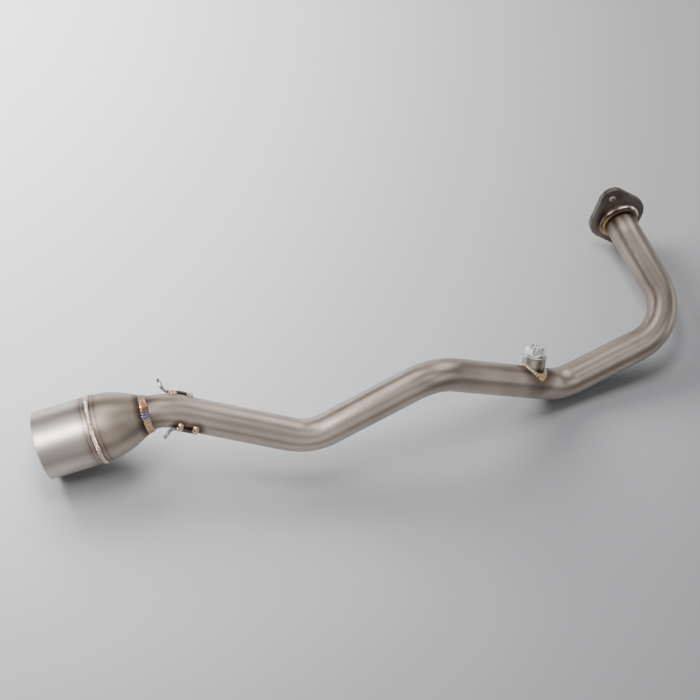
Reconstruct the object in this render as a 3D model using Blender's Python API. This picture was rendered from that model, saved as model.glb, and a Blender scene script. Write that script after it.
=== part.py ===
"""Motorcycle exhaust header pipe, laid on the floor the way it comes to rest.

The pipe is built on a bench frame. Its origin is the centre of the outlet cup's open rim, and X runs
down the cup's axis towards the pipe. A bending table walks the centreline from there to the head
flange, and every other piece is placed by its distance along that centreline and by a clock angle
round it. The finished assembly hangs from one empty, which lays it on its three contact points.

Sizes are in millimetres and angles in degrees, and MM turns them into metres as points are made.
"""

import math
from dataclasses import dataclass

import bmesh
import bpy
from mathutils import Matrix, Vector

MM = 0.001
FIT_GAP = 0.35  # clearance between pieces that touch or are welded together

# Pipe
PIPE_RADIUS = 17.5
PIPE_WALL = 1.5
BEND_RADIUS = 52.5  # centreline radius of the bending die, one and a half pipe diameters
OVALITY = 0.04  # share of the width that a bend loses in its own plane
BEND_STEP = 6.0
PIPE_SIDES = 32

# Outlet cup and reducer cone
CUP_RADIUS = 35.0
CUP_WALL = 1.5
CUP_LENGTH = 58.0
CUP_RIM_ROUND = 0.6
CONE_END = 107.0  # distance of the cone's small end from the cup's rim
CONE_END_RADIUS = 20.4
CONE_SWELL = 3.4  # how far the cone's flank bulges past a straight line
PIPE_INSERTION = 6.0
LATHE_SIDES = 64

# Head flange and collar
FLANGE_THICKNESS = 6.0
FLANGE_WAIST_RADIUS = 32.5
FLANGE_EAR_RADIUS = 14.0
STUD_SPACING = 73.0
STUD_HOLE_RADIUS = 4.8
FLANGE_EDGE_ROUND = 0.9
FLANGE_CLOCK = -6.0
SPIGOT_RADIUS = 20.5
SPIGOT_RECESS = 0.6
SHOULDER_RADIUS = 23.6
SHOULDER_HEIGHT = 5.2
SHOULDER_CHAMFER = 1.3
COLLAR_SIDES = 48

# Sensor boss, washer and plug
BOSS_DISTANCE = 566.0
BOSS_CLOCK = -47.0
BOSS_LEAN = -9.0  # tilt of the boss along the pipe, towards the cup
BOSS_RADIUS = 12.7
BOSS_BORE_RADIUS = 8.3
BOSS_TOP = 28.3  # height of the boss's face over the pipe's axis
BOSS_CHAMFER = 0.7
WASHER_RADIUS = 13.8
WASHER_HEIGHT = 1.7
PLUG_COLLAR_RADIUS = 12.4
PLUG_COLLAR_HEIGHT = 2.2
PLUG_FLATS = 20.0
PLUG_HEX_HEIGHT = 7.6
PLUG_SHANK_LENGTH = 9.0
BOSS_SIDES = 36

# Spring hooks
HOOK_WIRE_RADIUS = 1.8
HOOK_SHANK = 20.0
HOOK_ARC_RADIUS = 9.0
HOOK_ARC_ANGLE = 64.0
HOOK_TIP = 7.5
HOOK_SIDES = 12
UPPER_HOOK_DISTANCE = 132.0
UPPER_HOOK_CLOCK = -80.0
LOWER_HOOK_DISTANCE = 142.5
LOWER_HOOK_CLOCK = 82.0
TACK_LENGTH = 6.4
TACK_THICKNESS = 1.5
TACK_PUDDLE = 4.0  # how far a tack runs out over the pipe, on the side nearer clock zero
FRONT_TACK = 2.8  # from the bend in the wire to the middle of the front tack
REAR_TACK = 18.4  # and to the middle of the rear one

# Weld beads
BEAD_HEIGHT = 1.3
CUP_BEAD_HALF_WIDTH = 2.6
CONE_BEAD_WIDTH = 7.6
COLLAR_BEAD_LEG = 3.6
BOSS_BEAD_RISE = 1.1  # up the boss
BOSS_BEAD_TOE = 1.9  # out over the pipe, along it
BOSS_BEAD_FLANK = 3.4  # out over the pipe, across it
RIPPLE_DEPTH = 0.22  # share of a bead's height lost between two ripples
RIPPLE_PITCH = 2.3

# Lying pose
LAY_PITCH = 18.312
LAY_ROLL = -0.713


@dataclass(frozen=True)
class Bend:
    """One row of the bending table: feed the pipe, roll it, then bend it."""

    feed: float
    roll: float
    angle: float


BENDING_TABLE = (
    Bend(feed=111.0, roll=142.5, angle=34.0),
    Bend(feed=119.0, roll=174.0, angle=44.0),
    Bend(feed=97.0, roll=-149.0, angle=53.5),
    Bend(feed=144.0, roll=173.0, angle=43.0),
    Bend(feed=81.0, roll=-66.0, angle=90.5),
    Bend(feed=61.0, roll=-113.0, angle=24.0),
)
LAST_FEED = 6.0  # from the last bend to the flange's near face


@dataclass(frozen=True)
class Frame:
    """A place on the centreline: its tangent, two fixed normals, and the pull of the bend there."""

    origin: Vector
    along: Vector
    side: Vector
    bend_normal: Vector
    squash: float

    @property
    def across(self):
        return self.along.cross(self.side)

    def spoke(self, clock):
        """Unit vector out of the centreline at a clock angle in radians."""
        return self.side * math.cos(clock) + self.across * math.sin(clock)

    def reach(self, clock, radius):
        """Vector from the axis to a surface of this radius, flattened in the plane of the bend."""
        spoke = self.spoke(clock) * radius
        inward = spoke.dot(self.bend_normal)
        return spoke * (1 + self.squash / 3) - self.bend_normal * inward * self.squash * 4 / 3

    def point(self, axial, clock, radius):
        return self.origin + self.along * axial + self.spoke(clock) * radius


class Centreline:
    """The axis of the whole assembly, from the cup's rim to the far end of the pipe."""

    def __init__(self, table, last_feed):
        self.pieces = []
        self.length = 0.0
        place = (Vector((0, 0, 0)), Vector((1, 0, 0)), Vector((0, 0, 1)))
        self.bends = []
        plane = 0.0
        for row in table:
            place = self._add_straight(place, row.feed)
            plane += math.radians(row.roll)
            place = self._add_bend(place, plane, math.radians(row.angle))
        self.face = self.length + last_feed
        self._add_straight(place, last_feed * 4)

    def _add_straight(self, place, feed):
        self.pieces.append((self.length, feed, place, None))
        self.length += feed
        origin, along, side = place
        return origin + along * feed, along, side

    def _add_bend(self, place, plane, angle):
        arc = BEND_RADIUS * angle
        self.pieces.append((self.length, arc, place, plane))
        self.bends.append((self.length, arc))
        self.length += arc
        return self._turned(place, plane, angle)

    @staticmethod
    def _turned(place, plane, angle):
        origin, along, side = place
        normal = side * math.cos(plane) + along.cross(side) * math.sin(plane)
        axis = along.cross(normal)
        turn = Matrix.Rotation(angle, 3, axis)
        centre = origin + normal * BEND_RADIUS
        return centre + turn @ (origin - centre), turn @ along, turn @ side

    def at(self, distance):
        """The frame at a distance from the cup's rim."""
        for start, length, place, plane in reversed(self.pieces):
            if distance >= start:
                break
        done = distance - start
        if plane is None:
            origin, along, side = place
            return Frame(origin + along * done, along, side, Vector((0, 0, 0)), 0.0)
        origin, along, side = self._turned(place, plane, done / BEND_RADIUS)
        normal = side * math.cos(plane) + along.cross(side) * math.sin(plane)
        squash = OVALITY * math.sin(math.pi * min(done / length, 1.0)) ** 0.5
        return Frame(origin, along, side, normal, squash)

    def stations(self, first, last):
        """Distances at which a sweep needs a ring: the ends, the bends' ends, and steps inside bends."""
        found = [first]
        for start, arc in self.bends:
            steps = max(2, round(math.degrees(arc / BEND_RADIUS) / BEND_STEP))
            found += [start + arc * i / steps for i in range(steps + 1)]
        found.append(last)
        return [d for d in found if first <= d <= last]


def clocks(count):
    """Evenly spaced angles round a full turn, in radians."""
    return [math.tau * i / count for i in range(count)]


def make_object(name, vertices, faces, smooth_below=40.0):
    """Adds a mesh object from points in millimetres, with smooth faces split at sharp edges."""
    mesh = bpy.data.meshes.new(name)
    mesh.from_pydata([tuple(v * MM) for v in vertices], [], faces)
    bm = bmesh.new()
    bm.from_mesh(mesh)
    bmesh.ops.recalc_face_normals(bm, faces=bm.faces)
    if bm.calc_volume(signed=True) < 0:
        bmesh.ops.reverse_faces(bm, faces=bm.faces)
    bm.to_mesh(mesh)
    bm.free()
    mesh.shade_smooth()
    mesh.set_sharp_from_angle(angle=math.radians(smooth_below))
    obj = bpy.data.objects.new(name, mesh)
    bpy.context.scene.collection.objects.link(obj)
    return obj


def skin(name, rings, ring_shaped, smooth_below=40.0):
    """Joins loops of equal length into one closed surface.

    A ring-shaped body joins its last loop back to its first. Any other body gets a cap at each end.
    """
    count = len(rings[0])
    vertices = [point for ring in rings for point in ring]
    links = len(rings) if ring_shaped else len(rings) - 1
    faces = []
    for i in range(links):
        low = i * count
        high = (i + 1) % len(rings) * count
        for j in range(count):
            k = (j + 1) % count
            faces.append((low + j, low + k, high + k, high + j))
    if not ring_shaped:
        faces.append(tuple(reversed(range(count))))
        faces.append(tuple(range((len(rings) - 1) * count, len(rings) * count)))
    return make_object(name, vertices, faces, smooth_below)


def lathe(name, frame, profile, sides, smooth_below=40.0):
    """Turns a closed outline of (axial, radius) pairs round a frame's axis."""
    rings = [[frame.point(a, clock, r) for a, r in profile] for clock in clocks(sides)]
    return skin(name, rings, True, smooth_below)


def cut(target, cutter):
    """Subtracts a helper object from a part and keeps the helper out of renders."""
    cutter.hide_render = True
    cutter.display_type = "WIRE"
    modifier = target.modifiers.new(cutter.name, "BOOLEAN")
    modifier.operation = "DIFFERENCE"
    modifier.solver = "EXACT"
    modifier.object = cutter


def rod(name, frame, radius, start, end, sides):
    """A plain cylinder round a frame's axis, used as a cutter."""
    rings = [[frame.point(a, clock, radius) for clock in clocks(sides)] for a in (start, end)]
    return skin(name, rings, False)


def boss_frame(line):
    """A frame whose axis is the boss's, and whose side runs along the pipe."""
    frame = line.at(BOSS_DISTANCE)
    spoke = frame.spoke(math.radians(BOSS_CLOCK))
    lean = math.radians(BOSS_LEAN)
    axis = spoke * math.cos(lean) + frame.along * math.sin(lean)
    side = frame.along * math.cos(lean) - spoke * math.sin(lean)
    return Frame(frame.origin, axis, side, Vector((0, 0, 0)), 0.0)


def ripple(index, turn):
    """Height factor of a bead at one of its rings, for a bead laid by hand in overlapping drops."""
    drop = 1.0 - RIPPLE_DEPTH * (index % 2)
    return drop * (1.0 + 0.07 * math.sin(3 * turn + 1.3) + 0.05 * math.sin(7 * turn))


def bead_sides(radius):
    """An even number of rings that puts one ripple in each pitch."""
    return 2 * round(math.tau * radius / RIPPLE_PITCH)


def cone_radius(distance):
    """Outer radius of the reducer cone at a distance from the cup's rim."""
    share = (distance - CUP_LENGTH) / (CONE_END - CUP_LENGTH)
    straight = CUP_RADIUS + (CONE_END_RADIUS - CUP_RADIUS) * share
    return straight + CONE_SWELL * math.sin(math.pi * min(max(share, 0.0), 1.0))


def build_pipe(line):
    """The bent pipe, hollow end to end, with the hole that the sensor boss stands over."""
    distances = line.stations(CONE_END - PIPE_INSERTION, line.face + FLANGE_THICKNESS - 1.5)
    frames = [line.at(d) for d in distances]
    turns = clocks(PIPE_SIDES)
    outer = [[f.origin + f.reach(c, PIPE_RADIUS) for c in turns] for f in frames]
    bore = PIPE_RADIUS - PIPE_WALL
    inner = [[f.origin + f.reach(c, bore) for c in turns] for f in reversed(frames)]
    pipe = skin("header_pipe", outer + inner, True)
    cut(pipe, rod("sensor_hole_cutter", boss_frame(line), BOSS_BORE_RADIUS, PIPE_RADIUS / 2, BOSS_TOP, BOSS_SIDES))
    return pipe


def build_cup(line):
    """The open sleeve that slips over the silencer's inlet."""
    bore = CUP_RADIUS - CUP_WALL
    profile = [
        (CUP_RIM_ROUND, bore),
        (0.0, bore + CUP_RIM_ROUND),
        (0.0, CUP_RADIUS - CUP_RIM_ROUND),
        (CUP_RIM_ROUND, CUP_RADIUS),
        (CUP_LENGTH, CUP_RADIUS),
        (CUP_LENGTH, bore),
    ]
    return lathe("outlet_cup", line.at(0.0), profile, LATHE_SIDES)


def build_cone(line):
    """The spun reducer between the cup and the pipe."""
    steps = 6
    start = CUP_LENGTH + FIT_GAP
    distances = [start + (CONE_END - start) * i / steps for i in range(steps + 1)]
    outer = [(d, cone_radius(d)) for d in distances]
    inner = [(d, cone_radius(d) - CUP_WALL) for d in reversed(distances)]
    return lathe("reducer_cone", line.at(0.0), outer + inner, LATHE_SIDES)


def build_cup_bead(line):
    """The seam weld between the cup and the cone."""
    frame = line.at(0.0)
    half = CUP_BEAD_HALF_WIDTH
    base = CUP_RADIUS + FIT_GAP
    far = CUP_LENGTH + half
    far_base = cone_radius(far) + FIT_GAP
    count = bead_sides(CUP_RADIUS)
    rings = []
    for i, turn in enumerate(clocks(count)):
        crown = BEAD_HEIGHT * ripple(i, turn)
        section = [
            (CUP_LENGTH - half, base),
            (CUP_LENGTH - half * 0.6, base + crown * 0.7),
            (CUP_LENGTH, base + crown),
            (CUP_LENGTH + half * 0.6, base + crown * 0.6),
            (far, far_base),
            (CUP_LENGTH + half * 0.3, base),
        ]
        rings.append([frame.point(a, turn, r) for a, r in section])
    return skin("cup_weld", rings, True, 60.0)


def build_cone_bead(line):
    """The fillet weld where the cone laps over the pipe."""
    frame = line.at(CONE_END)
    foot = PIPE_RADIUS + FIT_GAP
    lip = CONE_END_RADIUS - FIT_GAP
    width = CONE_BEAD_WIDTH
    rings = []
    for i, turn in enumerate(clocks(bead_sides(CONE_END_RADIUS))):
        crown = BEAD_HEIGHT * ripple(i, turn)
        section = [
            (FIT_GAP, foot),
            (width, foot),
            (width * 0.82, foot + crown * 0.8),
            (width * 0.45, foot + crown * 1.7),
            (FIT_GAP, lip + crown * 0.1),
        ]
        rings.append([frame.point(a, turn, r) for a, r in section])
    return skin("cone_weld", rings, True, 60.0)


def flange_outline():
    """Points of the flange's edge: two ears and a round waist, joined by straight tangents."""
    reach = STUD_SPACING / 2
    lean = math.acos((FLANGE_WAIST_RADIUS - FLANGE_EAR_RADIUS) / reach)
    points = []
    for centre, radius, first, last, steps in (
        (reach, FLANGE_EAR_RADIUS, -lean, lean, 12),
        (0.0, FLANGE_WAIST_RADIUS, lean, math.pi - lean, 14),
        (-reach, FLANGE_EAR_RADIUS, math.pi - lean, math.pi + lean, 12),
        (0.0, FLANGE_WAIST_RADIUS, math.pi + lean, math.tau - lean, 14),
    ):
        for i in range(steps + 1):
            turn = first + (last - first) * i / steps
            points.append((centre + radius * math.cos(turn), radius * math.sin(turn)))
    return points


def flange_frame(line):
    """The frame of the flange's near face, turned so that its side points at a stud hole."""
    frame = line.at(line.face)
    clock = math.radians(FLANGE_CLOCK)
    return Frame(frame.origin, frame.along, frame.spoke(clock), Vector((0, 0, 0)), 0.0)


def inset_outline(points, inset):
    """The outline pulled in towards its middle by a fixed distance along each point's own normal."""
    count = len(points)
    moved = []
    for i, (x, y) in enumerate(points):
        ahead = Vector(points[(i + 1) % count]) - Vector((x, y))
        behind = Vector((x, y)) - Vector(points[i - 1])
        tangent = ahead.normalized() + behind.normalized()
        normal = Vector((tangent.y, -tangent.x)).normalized()
        moved.append((x - normal.x * inset, y - normal.y * inset))
    return moved


def build_flange(line):
    """The two-stud flange plate with softened edges."""
    frame = flange_frame(line)
    outline = flange_outline()
    soft = FLANGE_EDGE_ROUND
    rings = []
    for axial, inset in (
        (0.0, soft),
        (soft * 0.3, soft * 0.3),
        (soft, 0.0),
        (FLANGE_THICKNESS - soft, 0.0),
        (FLANGE_THICKNESS - soft * 0.3, soft * 0.3),
        (FLANGE_THICKNESS, soft),
    ):
        points = inset_outline(outline, inset)
        rings.append(
            [frame.origin + frame.along * axial + frame.side * x + frame.across * y for x, y in points]
        )
    flange = skin("head_flange", rings, False)
    below = -FLANGE_THICKNESS
    above = FLANGE_THICKNESS * 2
    bore = SPIGOT_RADIUS + FIT_GAP
    cut(flange, rod("flange_bore_cutter", frame, bore, below, above, COLLAR_SIDES))
    for name, offset in (("stud_hole_cutter_a", 0.5), ("stud_hole_cutter_b", -0.5)):
        shift = frame.side * STUD_SPACING * offset
        hole = Frame(frame.origin + shift, frame.along, frame.side, frame.bend_normal, 0.0)
        cut(flange, rod(name, hole, STUD_HOLE_RADIUS, below, above, 24))
    return flange


def build_collar(line):
    """The turned collar that carries the pipe through the flange and bears on the gasket."""
    bore = PIPE_RADIUS + FIT_GAP
    top = -FIT_GAP
    low = top - SHOULDER_HEIGHT
    end = FLANGE_THICKNESS - SPIGOT_RECESS
    profile = [
        (low, bore),
        (low, SHOULDER_RADIUS - SHOULDER_CHAMFER),
        (low + SHOULDER_CHAMFER, SHOULDER_RADIUS),
        (top, SHOULDER_RADIUS),
        (top, SPIGOT_RADIUS),
        (end - 0.8, SPIGOT_RADIUS),
        (end, SPIGOT_RADIUS - 0.8),
        (end, bore),
    ]
    return lathe("flange_collar", line.at(line.face), profile, COLLAR_SIDES)


def build_collar_bead(line):
    """The fillet weld between the pipe and the collar's shoulder."""
    frame = line.at(line.face)
    near = -FIT_GAP - SHOULDER_HEIGHT - FIT_GAP
    foot = PIPE_RADIUS + FIT_GAP
    leg = COLLAR_BEAD_LEG
    rings = []
    for i, turn in enumerate(clocks(bead_sides(PIPE_RADIUS + leg / 2))):
        swell = leg * ripple(i, turn)
        section = [
            (near, foot),
            (near, foot + leg),
            (near - swell * 0.35, foot + swell * 0.8),
            (near - swell * 0.75, foot + swell * 0.4),
            (near - leg, foot),
        ]
        rings.append([frame.point(a, turn, r) for a, r in section])
    return skin("collar_weld", rings, True, 60.0)


def saddle(radius, turn):
    """Height up the boss's axis at which a ring of this radius meets the pipe's surface."""
    lean = math.radians(BOSS_LEAN)
    offset = radius * math.sin(turn)
    rise = math.sqrt(max(PIPE_RADIUS**2 - offset**2, 0.0))
    return (rise + radius * math.cos(turn) * math.sin(lean)) / math.cos(lean)


def build_boss(line):
    """The threaded boss, its foot cut to the round of the pipe."""
    frame = boss_frame(line)
    rings = []
    for turn in clocks(BOSS_SIDES):
        section = [
            (saddle(BOSS_RADIUS, turn) + FIT_GAP, BOSS_RADIUS),
            (BOSS_TOP - BOSS_CHAMFER, BOSS_RADIUS),
            (BOSS_TOP, BOSS_RADIUS - BOSS_CHAMFER),
            (BOSS_TOP, BOSS_BORE_RADIUS),
            (saddle(BOSS_BORE_RADIUS, turn) + FIT_GAP, BOSS_BORE_RADIUS),
        ]
        rings.append([frame.point(a, turn, r) for a, r in section])
    return skin("sensor_boss", rings, True)


def build_boss_bead(line):
    """The beaded fillet weld that follows the boss's saddle."""
    frame = boss_frame(line)
    inside = BOSS_RADIUS + FIT_GAP
    rings = []
    for i, turn in enumerate(clocks(bead_sides(BOSS_RADIUS + 1.0))):
        height = ripple(i, turn)
        toe = BOSS_BEAD_TOE + (BOSS_BEAD_FLANK - BOSS_BEAD_TOE) * math.sin(turn) ** 2
        foot = [inside + toe * step / 4 for step in range(5)]
        middle = inside + toe * 0.45
        section = [(saddle(radius, turn) + FIT_GAP, radius) for radius in foot]
        section.append((saddle(middle, turn) + FIT_GAP + BOSS_BEAD_RISE * 0.8 * height, middle))
        section.append((saddle(inside, turn) + FIT_GAP + BOSS_BEAD_RISE * height, inside))
        rings.append([frame.point(a, turn, r) for a, r in section])
    return skin("boss_weld", rings, True, 60.0)


def build_washer(line):
    """The sealing washer between the boss and the plug."""
    low = BOSS_TOP + FIT_GAP
    high = low + WASHER_HEIGHT
    profile = [
        (low + 0.4, WASHER_RADIUS),
        (low, WASHER_RADIUS - 0.4),
        (low, BOSS_BORE_RADIUS + 0.5),
        (high, BOSS_BORE_RADIUS + 0.5),
        (high, WASHER_RADIUS - 0.4),
        (high - 0.4, WASHER_RADIUS),
    ]
    return lathe("plug_washer", boss_frame(line), profile, BOSS_SIDES)


def hexagon_reach(turn, flats):
    """Distance from the middle of a hexagon to its edge, in the direction of an angle."""
    sector = math.radians(60.0)
    return flats / 2 / math.cos((turn + sector / 2) % sector - sector / 2)


def build_plug(line):
    """The hexagon-headed plug that closes the boss."""
    frame = boss_frame(line)
    turns = clocks(24)
    seat = BOSS_TOP + FIT_GAP * 2 + WASHER_HEIGHT
    deck = seat + PLUG_COLLAR_HEIGHT
    crown = deck + PLUG_HEX_HEIGHT
    shank = BOSS_BORE_RADIUS - FIT_GAP
    tip = BOSS_TOP - PLUG_SHANK_LENGTH
    hexagon = [hexagon_reach(turn, PLUG_FLATS) for turn in turns]
    inset = PLUG_FLATS / 2 * 0.96
    rings = [
        [(tip, shank - 0.8)] * 24,
        [(tip + 0.8, shank)] * 24,
        [(seat, shank)] * 24,
        [(seat, PLUG_COLLAR_RADIUS)] * 24,
        [(deck - 0.5, PLUG_COLLAR_RADIUS)] * 24,
        [(deck, PLUG_COLLAR_RADIUS - 0.5)] * 24,
        [(deck, reach) for reach in hexagon],
        [(crown - 0.5 - 1.2 * (reach - PLUG_FLATS / 2) / 1.6, reach) for reach in hexagon],
        [(crown, inset)] * 24,
        [(crown, inset - 3.2)] * 24,
        [(crown - 1.5, inset - 4.0)] * 24,
    ]
    loops = [[frame.point(a, t, r) for t, (a, r) in zip(turns, ring)] for ring in rings]
    return skin("boss_plug", loops, False, 30.0)


def wire_seat(frame, clock):
    """The middle of a hook's wire where its shank lies along the pipe."""
    clearance = FIT_GAP + HOOK_WIRE_RADIUS
    return frame.origin + frame.reach(clock, PIPE_RADIUS) + frame.spoke(clock) * clearance


def hook_wire(line, distance, clock):
    """Guide points of a hook: the shank lies along the pipe, then the wire lifts away to its tip."""
    steps = 8
    points = []
    for i in range(steps + 1):
        frame = line.at(distance + HOOK_SHANK * (1 - i / steps))
        points.append(wire_seat(frame, clock))
    frame = line.at(distance)
    lift = frame.spoke(clock)
    back = -frame.along
    start = points[-1]
    bends = 6
    angle = math.radians(HOOK_ARC_ANGLE)
    for i in range(1, bends + 1):
        turn = angle * i / bends
        ahead = back * math.sin(turn) * HOOK_ARC_RADIUS
        points.append(start + ahead + lift * (1 - math.cos(turn)) * HOOK_ARC_RADIUS)
    lead = back * math.cos(angle) + lift * math.sin(angle)
    points.append(points[-1] + lead * HOOK_TIP)
    return points, frame.across


def wire_rings(points, normal, radius, sides):
    """Round loops along guide points that lie near one plane, with a rounded nose at each end."""
    rings = []
    last = len(points) - 1
    for i, point in enumerate(points):
        ahead = points[min(i + 1, last)] - points[max(i - 1, 0)]
        ahead.normalize()
        across = (normal - ahead * normal.dot(ahead)).normalized()
        up = ahead.cross(across)
        loop = [across * math.cos(t) + up * math.sin(t) for t in clocks(sides)]
        if i in (0, last):
            out = ahead if i else -ahead
            nose = [
                [point + out * radius * 0.1 + spoke * radius * 0.95 for spoke in loop],
                [point + out * radius * 0.5 + spoke * radius * 0.62 for spoke in loop],
            ]
            rings += nose if i else nose[::-1]
            continue
        rings.append([point + spoke * radius for spoke in loop])
    return rings


def build_hook(name, line, distance, clock):
    """A spring hook of bent wire."""
    points, normal = hook_wire(line, distance, math.radians(clock))
    rings = wire_rings(points, normal, HOOK_WIRE_RADIUS, HOOK_SIDES)
    return skin(name, rings, False, 50.0)


def tack_section(frame, clock, fill):
    """One loop of a tack weld: an arch over the wire, with a foot on the pipe at each side."""
    inner = HOOK_WIRE_RADIUS + FIT_GAP
    outer = inner + TACK_THICKNESS * fill
    puddle = TACK_PUDDLE * fill
    lean = -math.copysign(1.0, clock)
    middle = wire_seat(frame, clock)
    lift = frame.spoke(clock)
    across = frame.along.cross(lift)

    def foot(offset):
        turn = clock + math.asin(offset / PIPE_RADIUS)
        return frame.origin + frame.reach(turn, PIPE_RADIUS + FIT_GAP)

    def arch(radius, steps=10):
        turns = [math.pi * i / steps for i in range(steps + 1)]
        return [middle + (across * lean * math.cos(t) + lift * math.sin(t)) * radius for t in turns]

    run_out = [foot(lean * (inner + (outer + puddle - inner) * share)) for share in (0.35, 0.7, 1.0)]
    over = run_out + arch(outer) + [foot(-lean * outer)]
    under = [foot(lean * inner)] + arch(inner) + [foot(-lean * inner)]
    return over + under[::-1]


def build_tack(name, line, distance, clock):
    """A tack weld that holds a hook's shank down on the pipe."""
    rings = []
    for share, fill in ((0.0, 0.3), (0.15, 0.8), (0.4, 1.0), (0.65, 0.95), (0.85, 0.75), (1.0, 0.3)):
        frame = line.at(distance + TACK_LENGTH * (share - 0.5))
        rings.append(tack_section(frame, math.radians(clock), fill))
    return skin(name, rings, False, 60.0)


def lay_down(objects):
    """Hangs every piece from one empty, tips it onto its contacts and puts the origin under it."""
    root = bpy.data.objects.new("header_pipe_root", None)
    bpy.context.scene.collection.objects.link(root)
    for obj in objects:
        obj.parent = root
    tip = Matrix.Rotation(math.radians(-LAY_PITCH), 4, "Y")
    roll = Matrix.Rotation(math.radians(LAY_ROLL), 4, "X")
    turned = tip @ roll
    pieces = [o for o in objects if not o.hide_render]
    corners = [turned @ v.co for o in pieces for v in o.data.vertices]
    low = [min(c[i] for c in corners) for i in range(3)]
    high = [max(c[i] for c in corners) for i in range(3)]
    shift = Vector((-(low[0] + high[0]) / 2, -(low[1] + high[1]) / 2, -low[2]))
    root.matrix_world = Matrix.Translation(shift) @ turned


def main():
    for obj in list(bpy.data.objects):
        bpy.data.objects.remove(obj)
    line = Centreline(BENDING_TABLE, LAST_FEED)
    build_pipe(line)
    build_cup(line)
    build_cone(line)
    build_cup_bead(line)
    build_cone_bead(line)
    build_flange(line)
    build_collar(line)
    build_collar_bead(line)
    build_boss(line)
    build_boss_bead(line)
    build_washer(line)
    build_plug(line)
    for name, distance, clock in (
        ("upper", UPPER_HOOK_DISTANCE, UPPER_HOOK_CLOCK),
        ("lower", LOWER_HOOK_DISTANCE, LOWER_HOOK_CLOCK),
    ):
        build_hook(f"{name}_spring_hook", line, distance, clock)
        build_tack(f"{name}_hook_tack_front", line, distance + FRONT_TACK, clock)
        build_tack(f"{name}_hook_tack_rear", line, distance + REAR_TACK, clock)
    lay_down(list(bpy.data.objects))


main()
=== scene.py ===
"""Studio picture of a bent stainless exhaust header pipe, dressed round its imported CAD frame.

Lengths are metres in the row frame: +Z up, +X from the outlet cup towards the front bend. The pipe's run is
worked out again here from its bending table, so that welds and heat tints sit where the CAD pieces do.
"""

import logging
import math
from dataclasses import dataclass, field
from enum import Enum
from typing import NamedTuple, Optional, Sequence, Union

import bpy
from mathutils import Matrix, Vector


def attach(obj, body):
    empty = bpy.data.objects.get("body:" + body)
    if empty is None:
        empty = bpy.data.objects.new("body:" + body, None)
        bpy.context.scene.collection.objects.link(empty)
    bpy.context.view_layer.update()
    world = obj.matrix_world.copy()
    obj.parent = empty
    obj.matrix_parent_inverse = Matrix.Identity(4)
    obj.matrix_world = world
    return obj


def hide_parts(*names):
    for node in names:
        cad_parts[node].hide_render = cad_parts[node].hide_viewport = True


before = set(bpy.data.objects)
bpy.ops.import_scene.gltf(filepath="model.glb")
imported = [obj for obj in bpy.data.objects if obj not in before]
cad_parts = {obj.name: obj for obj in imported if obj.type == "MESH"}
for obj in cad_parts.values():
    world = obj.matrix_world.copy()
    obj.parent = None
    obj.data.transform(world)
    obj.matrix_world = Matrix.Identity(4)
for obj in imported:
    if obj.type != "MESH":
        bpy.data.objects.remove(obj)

log = logging.getLogger("header_pipe")

MM = 0.001
ROOT = "root"
SHARP_DEGREES = 40.0
SEATING = 0.05 * MM  # how far the edge of a bead sits inside the metal that it joins
Colour = tuple[float, float, float]
Point = tuple[float, float, float]
Stop = tuple[float, tuple[float, ...]]


# Shader graphs


class Signal:
    """A value socket that takes part in Python arithmetic by adding Math nodes."""

    def __init__(self, graph: "ShaderGraph", socket: bpy.types.NodeSocket) -> None:
        """Wraps one output socket of a graph."""
        self.graph = graph
        self.socket = socket

    def __add__(self, other: "Value") -> "Signal":
        """self + other."""
        return self.graph.maths("ADD", self, other)

    def __radd__(self, other: "Value") -> "Signal":
        """other + self."""
        return self.graph.maths("ADD", other, self)

    def __sub__(self, other: "Value") -> "Signal":
        """self - other."""
        return self.graph.maths("SUBTRACT", self, other)

    def __rsub__(self, other: "Value") -> "Signal":
        """other - self."""
        return self.graph.maths("SUBTRACT", other, self)

    def __mul__(self, other: "Value") -> "Signal":
        """self * other."""
        return self.graph.maths("MULTIPLY", self, other)

    def __truediv__(self, other: "Value") -> "Signal":
        """self / other."""
        return self.graph.maths("DIVIDE", self, other)

    def __abs__(self) -> "Signal":
        """The value without its sign."""
        return self.graph.maths("ABSOLUTE", self)

    def smooth(self, low: float, high: float) -> "Signal":
        """A soft step.

        Args:
            low: The value up to which the step is 0.
            high: The value from which it is 1.

        Returns:
            The step as a signal.
        """
        settings = {"interpolation_type": "SMOOTHSTEP"}
        inputs = {"Value": self, "From Min": low, "From Max": high}
        return Signal(self.graph, self.graph.node("ShaderNodeMapRange", settings, inputs).outputs[0])


Value = Union[Signal, float]


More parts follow.
